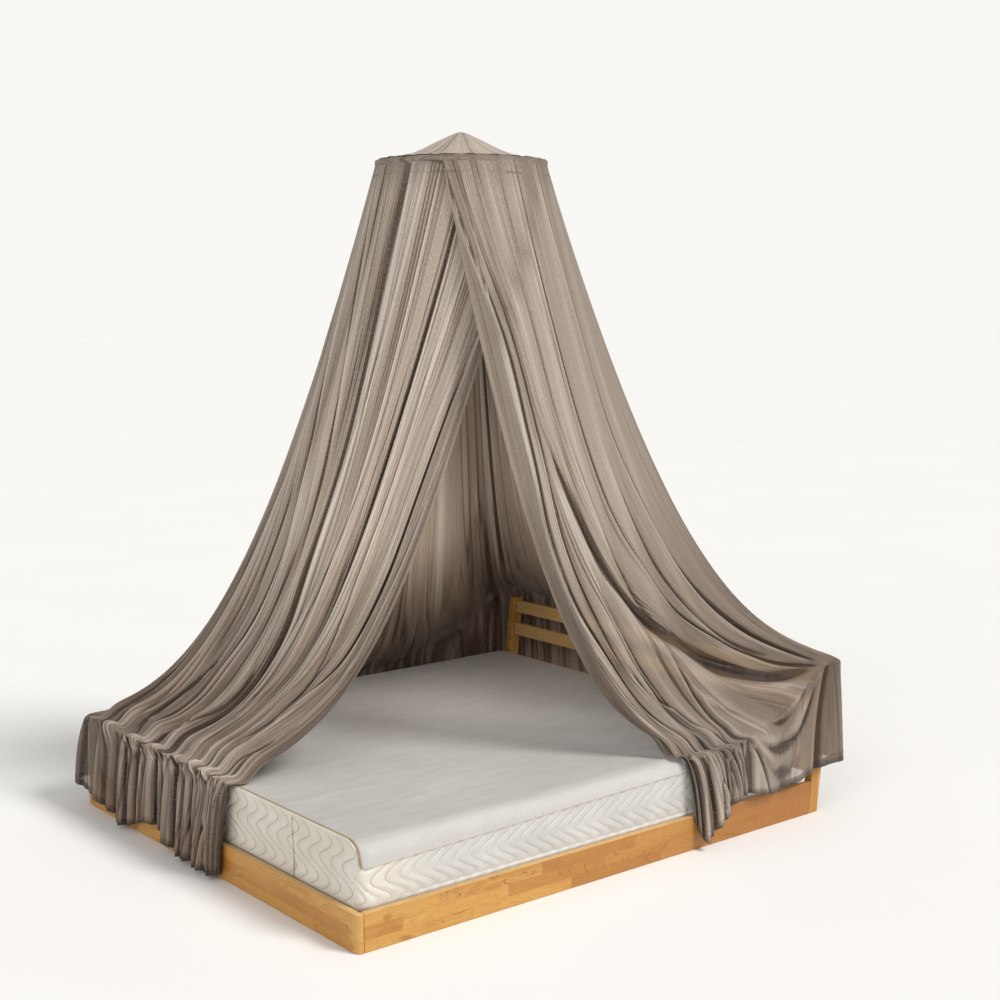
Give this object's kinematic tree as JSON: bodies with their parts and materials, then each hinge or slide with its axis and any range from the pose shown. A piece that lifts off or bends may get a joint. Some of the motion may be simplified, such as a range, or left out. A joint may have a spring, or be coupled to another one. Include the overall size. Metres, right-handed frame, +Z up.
{
  "type": "mosquito net canopy over a bed",
  "caption": "Sheer net canopy that falls from a small overhead hoop in lapped skirt panels and drapes over the edges of a low wooden bed with its mattress.",
  "frame": {"origin": "on the floor, under the middle of the whole part's box", "axes": "+Z up, +X from the foot of the bed to the headboard, +Y from the near side of the bed to the far side"},
  "size_m": [2.3404, 1.963, 2.557],
  "materials": {
    "net": "fine sheer knit with a faint metallic sheen",
    "hoop_wire": "matte",
    "oak": "satin, finger-jointed staves",
    "plywood": "plain",
    "mattress_cloth": "soft knit with a quilted border"
  },
  "bodies": {
    "root": {"foot_rail": "oak", "side_rail_near": "oak", "side_rail_far": "oak", "ledge_near": "oak", "ledge_far": "oak", "platform": "plywood", "head_post_near": "oak", "head_post_far": "oak", "head_rail_top": "oak", "head_rail_middle": "oak", "head_rail_low": "oak", "mattress": "mattress_cloth", "hoop": "hoop_wire", "roof": "net", "left_panel": "net", "right_panel": "net"}
  },
  "joints": []
}
